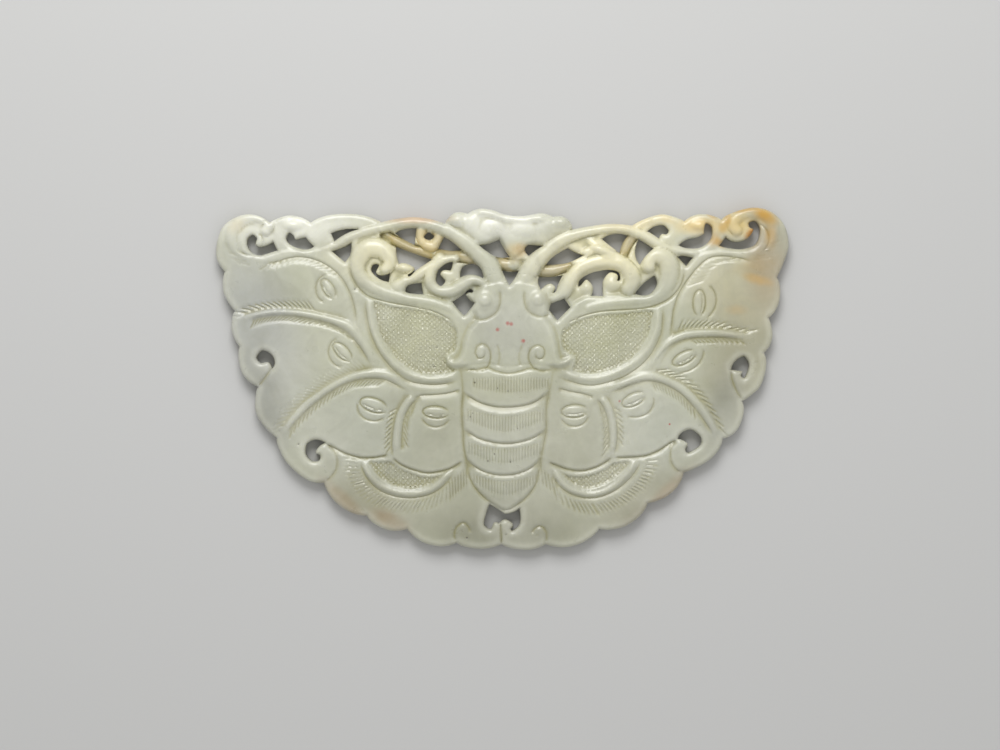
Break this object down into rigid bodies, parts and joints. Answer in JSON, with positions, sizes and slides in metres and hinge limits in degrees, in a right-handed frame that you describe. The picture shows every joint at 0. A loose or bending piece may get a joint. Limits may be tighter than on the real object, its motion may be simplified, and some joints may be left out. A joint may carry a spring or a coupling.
{
  "type": "jade butterfly plaque",
  "caption": "Flat openwork jade plaque carved as a butterfly with spread scalloped wings, curved feelers and netted wing fields; lies or is set as an ornament.",
  "frame": {"origin": "centre of the plaque's outline, on the flat back that it lies on", "axes": "+X to the viewer's right across the wings, +Y towards the feelers, +Z out of the carved face"},
  "size_m": [0.12, 0.0717, 0.0058],
  "materials": {
    "jade": "waxy polish, slightly translucent pale grey-green nephrite with tan and russet veins"
  },
  "bodies": {
    "root": {"butterfly_plaque": "jade"}
  },
  "joints": []
}
